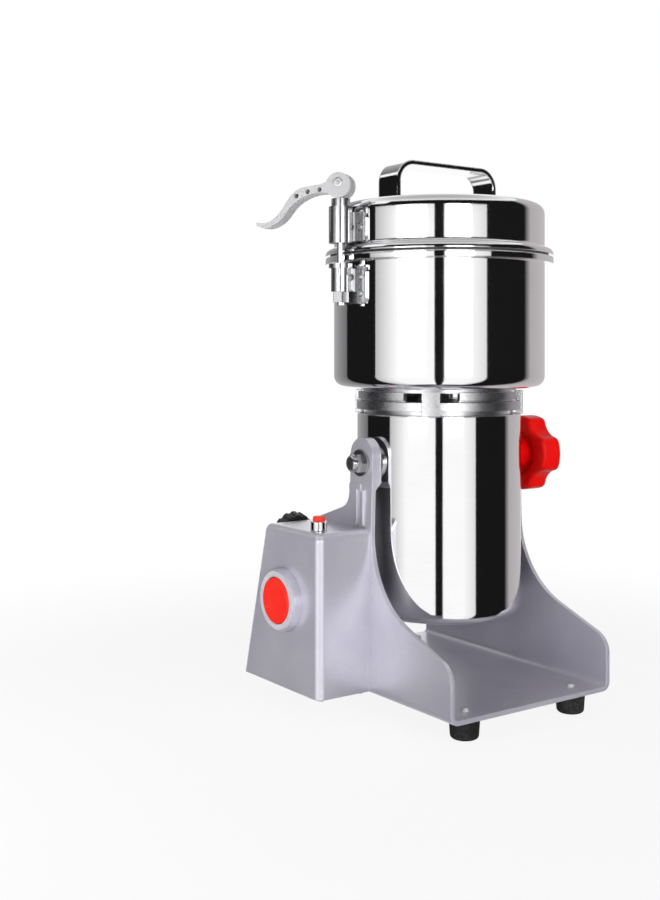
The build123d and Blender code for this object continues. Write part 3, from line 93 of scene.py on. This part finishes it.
# Soft lamps: bearing as for the cards, lengths in metres, power, whether reflections show the lamp
LAMPS = {
    "soft_left": dict(turn=-28, distance=2.9, height=0.37, size=(1.76, 0.68), power=10, seen=True),
    "soft_right": dict(turn=21, distance=2.9, height=0.37, size=(1.35, 0.68), power=11, seen=True),
    "key": dict(turn=-54, distance=0.47, height=0.04, size=(0.3, 0.3), power=1.15, seen=False),
    "fill": dict(turn=38, distance=1.95, height=0.5, size=(2.0, 1.2), power=24, seen=False),
}
LAMP_TARGET = 0.17

# Patterns of all finishes: detail of the noise, waver of the lines, radius that arcs are measured at
NOISE_DETAIL = 3.0
LINE_WAVER = 0.6
UNROLL_RADIUS = 0.07
# Mottled colour: the middle values of a pattern, and the part of the colours that they spread over
TONE_MIDDLE = (0.3, 0.7)
TONE_PART = 0.5
# Uneven gloss: the middle values of two patterns added up
GLOSS_MIDDLE = (0.6, 1.4)
# Worn edges: how far the rounded and the plain surface agree where wear starts and where it is full
EDGE_TURN = (0.995, 0.86)
EDGE_SAMPLES = 6
# Painted shade in narrow gaps, where little open sky reaches: depth of a gap in metres, shares of open
# sky, colour
GAP_REACH = 0.025
GAP_OPEN = (0.15, 0.45)
GAP_SAMPLES = 8
GAP_SHADE_COLOUR = (0.012, 0.012, 0.014, 1)
# Lacquer over paint and copper
COAT_ROUGHNESS = 0.28
COAT_IOR = 1.75


def even(number):
    """The same number of features per metre along all three axes."""
    return (number, number, number)


CLOUD = even(28)
SMEAR = even(17)
RUBBED = even(220)

# Finishes: colours from low to high, metal share, lowest and highest roughness, pattern of the colour,
# reliefs with their depth in metres, edge radius in metres and edge wear; patterns that run round the
# axis, another specular level, a lacquer or painted shade in narrow gaps where the surface has them
FINISHES = {
    "painted_frame": dict(
        shades=[(0.605, 0.59, 0.685), (0.625, 0.61, 0.705), (0.73, 0.72, 0.79)],
        metallic=0.42, rough=(0.30, 0.36), grain=("noise", even(2600)),
        marks=[("noise", even(420), 4e-6), ("cells", even(1500), 2e-6)],
        # The last value here paints shade into the frame's narrow gaps
        edge=0.0012, wear=0.3, coat=1.0, gap_shade=0.9,
    ),
    "polished_steel": dict(
        shades=[(0.93, 0.93, 0.935), (0.95, 0.95, 0.955), (0.965, 0.965, 0.965)],
        metallic=1.0, rough=(0.03, 0.07), grain=("noise", (40, 300, 2400)),
        marks=[("noise", (60, 400, 3600), 1e-7), ("noise", even(45), 5e-6)],
        edge=0.0016, wear=0.2, around=True,
    ),
    "chrome": dict(
        shades=[(0.84, 0.84, 0.86), (0.88, 0.88, 0.90), (0.93, 0.93, 0.94)],
        metallic=1.0, rough=(0.09, 0.15), grain=("noise", even(500)),
        marks=[("noise", even(300), 3e-7), ("noise", even(120), 1e-6)],
        edge=0.0006, wear=0.3,
    ),
    "pale_paint": dict(
        shades=[(0.70, 0.68, 0.75), (0.74, 0.72, 0.79), (0.84, 0.83, 0.88)],
        metallic=0.25, rough=(0.26, 0.34), grain=("noise", even(900)),
        marks=[("noise", even(420), 3e-6), ("cells", even(1500), 2e-6)],
        edge=0.0008, wear=0.3, coat=0.1,
    ),
    "brushed_nickel": dict(
        shades=[(0.54, 0.54, 0.55), (0.57, 0.57, 0.58), (0.60, 0.60, 0.61)],
        metallic=0.15, rough=(0.40, 0.46), grain=("noise", even(32)),
        marks=[("noise", even(36), 2e-6), ("noise", even(20), 4e-6)],
    ),
    "satin_nickel": dict(
        shades=[(0.46, 0.46, 0.47), (0.48, 0.48, 0.49), (0.51, 0.51, 0.52)],
        metallic=0.92, rough=(0.15, 0.19), grain=("noise", even(32)),
        marks=[("noise", even(36), 1e-6), ("noise", even(20), 2e-6)],
    ),
    "steel": dict(
        shades=[(0.50, 0.50, 0.51), (0.60, 0.60, 0.61), (0.74, 0.74, 0.75)],
        metallic=1.0, rough=(0.20, 0.38), grain=("noise", (300, 300, 3000)),
        marks=[("noise", (400, 400, 4200), 6e-6), ("cells", even(900), 4e-6)],
        edge=0.0004, wear=0.4,
    ),
    "cast_alloy": dict(
        shades=[(0.56, 0.56, 0.58), (0.66, 0.66, 0.68), (0.80, 0.80, 0.82)],
        metallic=1.0, rough=(0.24, 0.40), grain=("noise", even(1800)),
        marks=[("cells", even(1300), 2e-5), ("noise", even(300), 3e-5)],
        edge=0.0006, wear=0.4,
    ),
    "laminations": dict(
        shades=[(0.10, 0.10, 0.11), (0.17, 0.17, 0.18), (0.30, 0.30, 0.31)],
        metallic=0.8, rough=(0.35, 0.55), grain=("lines", (1, 1, 700)),
        marks=[("lines", (1, 1, 700), 8e-5), ("noise", even(800), 1e-5)],
        edge=0.0003, wear=0.3,
    ),
    "copper": dict(
        shades=[(0.36, 0.14, 0.06), (0.52, 0.22, 0.10), (0.72, 0.38, 0.20)],
        metallic=0.9, rough=(0.22, 0.42), grain=("lines", (60, 60, 400)),
        marks=[("lines", (60, 60, 400), 1.8e-4), ("noise", even(300), 8e-5)],
        edge=0.0004, wear=0.2, coat=0.2,
    ),
    "black_plastic": dict(
        shades=[(0.005, 0.005, 0.006), (0.009, 0.009, 0.010), (0.03, 0.03, 0.032)],
        metallic=0.0, rough=(0.36, 0.54), grain=("noise", even(700)),
        marks=[("cells", even(1600), 2e-5), ("noise", even(260), 3e-5)],
        edge=0.0005, wear=0.3,
    ),
    "carbon": dict(
        shades=[(0.02, 0.02, 0.022), (0.04, 0.04, 0.042), (0.09, 0.09, 0.09)],
        metallic=0.3, rough=(0.45, 0.70), grain=("cells", even(2200)),
        marks=[("cells", even(2200), 3e-5), ("noise", even(500), 3e-5)],
        edge=0.0003, wear=0.3, specular=0.4,
    ),
    "red_plastic": dict(
        shades=[(0.90, 0.020, 0.012), (0.92, 0.026, 0.015), (0.94, 0.05, 0.03)],
        metallic=0.0, rough=(0.30, 0.40), grain=("noise", even(90)),
        marks=[("noise", even(320), 4e-6), ("cells", even(900), 2e-6)],
        edge=0.0008, wear=0.3, specular=0.18,
    ),
    "deep_red": dict(
        shades=[(0.78, 0.002, 0.0015), (0.82, 0.003, 0.002), (0.86, 0.012, 0.009)],
        metallic=0.0, rough=(0.30, 0.40), grain=("noise", even(90)),
        marks=[("noise", even(320), 4e-6), ("cells", even(900), 2e-6)],
        edge=0.0008, wear=0.3, specular=0.12,
    ),
    "rubber": dict(
        shades=[(0.006, 0.006, 0.006), (0.012, 0.012, 0.012), (0.04, 0.04, 0.04)],
        metallic=0.0, rough=(0.55, 0.80), grain=("noise", even(500)),
        marks=[("cells", even(1100), 5e-5), ("noise", even(240), 8e-5)],
        edge=0.0008, wear=0.4, specular=0.3,
    ),
    "silicone": dict(
        shades=[(0.05, 0.05, 0.055), (0.08, 0.08, 0.085), (0.14, 0.14, 0.145)],
        metallic=0.0, rough=(0.40, 0.60), grain=("noise", even(400)),
        marks=[("noise", even(700), 3e-5), ("noise", even(120), 4e-5)],
        edge=0.0005, wear=0.2, around=True, specular=0.4,
    ),
}
# Pieces with a surface unlike the rest of their material
OTHER_FINISH = {
    "button_bezel": "pale_paint",
    "lock_knob": "deep_red",
    "pivot_nut": "satin_nickel",
    "cam_lever": "brushed_nickel",
    "foot_screws": "brushed_nickel",
    "outer_washers": "satin_nickel",
    "thrust_collar": "satin_nickel",
    "clamp_nut": "satin_nickel",
    "lid_bracket": "satin_nickel",
    "cup_bracket": "satin_nickel",
    "rim_catch": "satin_nickel",
}


def make_camera():
    """A level camera whose lens shift puts the horizon where the photograph has it."""
    data = bpy.data.cameras.new("camera")
    data.sensor_width = SENSOR
    data.lens = SENSOR * FOCAL_PIXELS / IMAGE_HEIGHT
    data.shift_y = (HORIZON_ROW - IMAGE_HEIGHT / 2) / IMAGE_HEIGHT
    data.clip_start = CAMERA_NEAR
    camera = bpy.data.objects.new("camera", data)
    camera.location = CAMERA_PLACE
    camera.rotation_euler = (radians(90), 0, -radians(CAMERA_HEADING))
    scene.collection.objects.link(camera)
    scene.camera = camera


def round_place(turn, distance, height):
    """A point round the axis, at a bearing counted from the camera's."""
    angle = atan2(CAMERA_PLACE.y, CAMERA_PLACE.x - AXIS_X) + radians(turn)
    return Vector((AXIS_X + distance * cos(angle), distance * sin(angle), height))


def new_mesh_object(name, bm):
    """A linked object made from a bmesh, with smooth faces."""
    mesh = bpy.data.meshes.new(name)
    bm.to_mesh(mesh)
    bm.free()
    for polygon in mesh.polygons:
        polygon.use_smooth = True
    piece = bpy.data.objects.new(name, mesh)
    scene.collection.objects.link(piece)
    return piece


def new_material(name):
    """A material with nodes, and its node tree."""
    material = bpy.data.materials.new(name)
    material.use_nodes = True
    return material, material.node_tree


def add_node(tree, kind, inputs=None, **settings):
    """A shader node with its settings, and with a value or a link on each named input."""
    made = tree.nodes.new(kind)
    for name, value in settings.items():
        setattr(made, name, value)
    for name, value in (inputs or {}).items():
        if isinstance(value, bpy.types.NodeSocket):
            tree.links.new(value, made.inputs[name])
        else:
            made.inputs[name].default_value = value
    return made


def calculate(tree, operation, first, second=0.0):
    """One sum of two numbers."""
    return add_node(tree, "ShaderNodeMath", {0: first, 1: second}, operation=operation).outputs[0]


def spread(tree, value, low, high, to_low, to_high):
    """A number carried smoothly from one range to another."""
    inputs = {
        "Value": value, "From Min": low, "From Max": high, "To Min": to_low, "To Max": to_high,
    }
    return add_node(
        tree, "ShaderNodeMapRange", inputs, interpolation_type="SMOOTHSTEP"
    ).outputs["Result"]


def seen_rays(tree, *kinds):
    """1 for any of these kinds of ray, 0 for the others."""
    path = add_node(tree, "ShaderNodeLightPath")
    seen = path.outputs[kinds[0]]
    for kind in kinds[1:]:
        seen = calculate(tree, "MAXIMUM", seen, path.outputs[kind])
    return seen


def make_world():
    """White under a darker ceiling for camera and reflections, a plain grey level as light."""
    world = bpy.data.worlds.new("studio")
    scene.world = world
    world.use_nodes = True
    tree = world.node_tree
    background = tree.nodes["Background"]
    background.inputs["Color"].default_value = (*WHITE, 1)
    seen = seen_rays(tree, "Is Camera Ray", "Is Glossy Ray", "Is Transmission Ray")
    direction = add_node(tree, "ShaderNodeTexCoord").outputs["Generated"]
    rise = add_node(tree, "ShaderNodeSeparateXYZ", {0: direction}).outputs["Z"]
    level = spread(tree, rise, *AMBIENT_TURN, *AMBIENT)
    bright = spread(tree, rise, *CEILING_TURN, 1.0, CEILING)
    strength = spread(tree, seen, 0.0, 1.0, level, bright)
    tree.links.new(strength, background.inputs["Strength"])


def make_floor():
    """A pale floor that takes the shadow, runs out into white and stays out of the bright metal."""
    bm = bmesh.new()
    bmesh.ops.create_grid(bm, x_segments=1, y_segments=1, size=FLOOR_SIZE)
    floor = new_mesh_object("floor", bm)
    floor.visible_glossy = False
    material, tree = new_material("floor_paper")
    shader = tree.nodes["Principled BSDF"]
    shader.inputs["Base Color"].default_value = FLOOR_COLOUR
    shader.inputs["Roughness"].default_value = FLOOR_ROUGHNESS
    shader.inputs["Specular IOR Level"].default_value = FLOOR_SPECULAR
    place = add_node(tree, "ShaderNodeTexCoord").outputs["Object"]
    reach = add_node(tree, "ShaderNodeVectorMath", {0: place}, operation="LENGTH").outputs["Value"]
    faded = spread(tree, reach, *FLOOR_FADE, FLOOR_WHITE, 1.0)
    share = calculate(tree, "MULTIPLY", faded, seen_rays(tree, "Is Camera Ray"))
    white = add_node(tree, "ShaderNodeEmission", {"Color": (*WHITE, 1), "Strength": 1.0})
    both = add_node(
        tree, "ShaderNodeMixShader", {0: share, 1: shader.outputs[0], 2: white.outputs[0]}
    )
    tree.links.new(both.outputs[0], tree.nodes["Material Output"].inputs["Surface"])
    floor.data.materials.append(material)


def make_card(index, first, last, edges, first_colour, last_colour):
    """A curved card round the object, seen only in reflections, its colour graded along the curve."""
    steps = max(2, round((last - first) / CARD_STEP))
    bm = bmesh.new()
    shade = bm.verts.layers.float_color.new("shade")
    columns = []
    for i in range(steps + 1):
        share = i / steps
        turn = first + (last - first) * share
        column = [bm.verts.new(round_place(turn, CARD_DISTANCE, z)) for z in edges]
        for corner in column:
            corner[shade] = (*Vector(first_colour).lerp(Vector(last_colour), share), 1)
        columns.append(column)
    for a, b in zip(columns, columns[1:]):
        bm.faces.new((a[0], b[0], b[1], a[1]))
    card = new_mesh_object(f"card_{index}", bm)
    card.visible_camera = False
    card.visible_diffuse = False
    card.visible_shadow = False
    card.visible_transmission = False
    material, tree = new_material(f"card_{index}")
    tree.nodes.remove(tree.nodes["Principled BSDF"])
    tint = add_node(tree, "ShaderNodeAttribute", attribute_name="shade").outputs["Color"]
    glow = add_node(tree, "ShaderNodeEmission", {"Color": tint})
    tree.links.new(glow.outputs[0], tree.nodes["Material Output"].inputs["Surface"])
    card.data.materials.append(material)


def make_lamp(name, turn, distance, height, size, power, seen):
    """A soft lamp aimed at the object, with or without its own reflection."""
    data = bpy.data.lights.new(name, "AREA")
    data.shape = "RECTANGLE"
    data.size, data.size_y = size
    data.energy = power
    lamp = bpy.data.objects.new(name, data)
    lamp.location = round_place(turn, distance, height)
    aim = Vector((AXIS_X, 0, LAMP_TARGET)) - lamp.location
    lamp.rotation_euler = aim.to_track_quat("-Z", "Y").to_euler()
    lamp.visible_glossy = seen
    lamp.visible_camera = False
    scene.collection.objects.link(lamp)


def round_axis(tree):
    """Object coordinates unrolled about the axis: arc, radius and height in metres."""
    place = add_node(tree, "ShaderNodeTexCoord").outputs["Object"]
    parts = add_node(tree, "ShaderNodeSeparateXYZ", {0: place}).outputs
    x = calculate(tree, "SUBTRACT", parts["X"], AXIS_X)
    turn = calculate(tree, "ARCTAN2", parts["Y"], x)
    arc = calculate(tree, "MULTIPLY", turn, UNROLL_RADIUS)
    squares = calculate(
        tree, "ADD", calculate(tree, "MULTIPLY", x, x),
        calculate(tree, "MULTIPLY", parts["Y"], parts["Y"]),
    )
    radius = calculate(tree, "SQRT", squares)
    return add_node(
        tree, "ShaderNodeCombineXYZ", {"X": arc, "Y": radius, "Z": parts["Z"]}
    ).outputs[0]


def pattern(tree, place, kind, scale):
    """A grey pattern with its own number of features per metre along each axis."""
    stretched = add_node(
        tree, "ShaderNodeVectorMath", {0: place, 1: scale}, operation="MULTIPLY"
    ).outputs[0]
    inputs = {"Vector": stretched, "Scale": 1.0}
    if kind == "cells":
        return add_node(tree, "ShaderNodeTexVoronoi", inputs).outputs["Distance"]
    if kind == "lines":
        inputs["Distortion"] = LINE_WAVER
        return add_node(tree, "ShaderNodeTexWave", inputs, bands_direction="Z").outputs["Fac"]
    inputs["Detail"] = NOISE_DETAIL
    return add_node(tree, "ShaderNodeTexNoise", inputs).outputs["Fac"]


def blend_shades(tree, share, shades):
    """Colours of a surface by a share from 0 to 1, evenly apart."""
    ramp = add_node(tree, "ShaderNodeValToRGB", {"Fac": share})
    band = ramp.color_ramp
    while len(band.elements) < len(shades):
        band.elements.new(0.5)
    for i, shade in enumerate(shades):
        band.elements[i].position = i / (len(shades) - 1)
        band.elements[i].color = (*shade, 1)
    return ramp.outputs["Color"]


def mottle(tree, place, grain):
    """A share of the colours that varies with the grain and in wide clouds."""
    tone = spread(tree, pattern(tree, place, *grain), *TONE_MIDDLE, 0.0, TONE_PART)
    cloud = spread(tree, pattern(tree, place, "noise", CLOUD), *TONE_MIDDLE, 0.0, TONE_PART)
    return calculate(tree, "ADD", tone, cloud)


def worn_edges(tree, place, rounded, wear):
    """A share that is patchy along edges and 0 elsewhere."""
    plain = add_node(tree, "ShaderNodeNewGeometry").outputs["Normal"]
    agreement = add_node(
        tree, "ShaderNodeVectorMath", {0: rounded, 1: plain}, operation="DOT_PRODUCT"
    ).outputs["Value"]
    worn = spread(tree, agreement, *EDGE_TURN, 0.0, wear)
    return calculate(tree, "MULTIPLY", worn, pattern(tree, place, "noise", RUBBED))


def paint_gap_shade(tree, colour, gap_shade):
    """A colour that turns dark in narrow gaps, where little open sky reaches: painted shade."""
    open_share = add_node(
        tree, "ShaderNodeAmbientOcclusion", {"Distance": GAP_REACH}, samples=GAP_SAMPLES
    ).outputs["AO"]
    hidden = spread(tree, open_share, *GAP_OPEN, gap_shade, 0.0)
    return add_node(
        tree, "ShaderNodeMix", {0: hidden, 6: colour, 7: GAP_SHADE_COLOUR}, data_type="RGBA"
    ).outputs[2]


def uneven_gloss(tree, place, mark, rough):
    """A roughness that varies with a relief and in wide smears."""
    kind, scale, _ = mark
    gloss = pattern(tree, place, kind, scale)
    smear = pattern(tree, place, "noise", SMEAR)
    return spread(tree, calculate(tree, "ADD", gloss, smear), *GLOSS_MIDDLE, *rough)


def make_finish(
    name, shades, metallic, rough, grain, marks,
    edge=0.0, wear=0.0, around=False, specular=0.5, coat=0.0, gap_shade=0.0,
):
    """A finish with mottled colour, uneven gloss, a fine relief, worn edges and painted shade in narrow
    gaps.
    """
    material, tree = new_material(name)
    shader = tree.nodes["Principled BSDF"]
    shader.inputs["Metallic"].default_value = metallic
    shader.inputs["Specular IOR Level"].default_value = specular
    shader.inputs["Coat Weight"].default_value = coat
    shader.inputs["Coat Roughness"].default_value = COAT_ROUGHNESS
    shader.inputs["Coat IOR"].default_value = COAT_IOR
    if around:
        place = round_axis(tree)
    else:
        place = add_node(tree, "ShaderNodeTexCoord").outputs["Object"]
    share = mottle(tree, place, grain)
    normal = None
    if edge:
        normal = add_node(tree, "ShaderNodeBevel", {"Radius": edge}, samples=EDGE_SAMPLES).outputs[0]
        share = calculate(tree, "ADD", share, worn_edges(tree, place, normal, wear))
    colour = blend_shades(tree, share, shades)
    # Painted shade: the colour goes dark in narrow gaps, where little open sky reaches
    if gap_shade:
        colour = paint_gap_shade(tree, colour, gap_shade)
    tree.links.new(colour, shader.inputs["Base Color"])
    tree.links.new(uneven_gloss(tree, place, marks[0], rough), shader.inputs["Roughness"])
    for kind, scale, depth in marks:
        inputs = {"Height": pattern(tree, place, kind, scale), "Distance": depth, "Strength": 1.0}
        if normal:
            inputs["Normal"] = normal
        normal = add_node(tree, "ShaderNodeBump", inputs).outputs[0]
    tree.links.new(normal, shader.inputs["Normal"])
    return material


def dress_nodes():
    """Give every piece of the part the finish of its material, or its own."""
    finishes = {name: make_finish(name, **values) for name, values in FINISHES.items()}
    for entry in frame["record"]["subparts"]:
        finish = OTHER_FINISH.get(entry["node"], entry["material_slot"])
        for slot in frame["nodes"][entry["node"]].material_slots:
            slot.material = finishes[finish]


make_camera()
make_world()
make_floor()
for index, card in enumerate(CARDS):
    make_card(index, *card)
for name, lamp in LAMPS.items():
    make_lamp(name, **lamp)
dress_nodes()
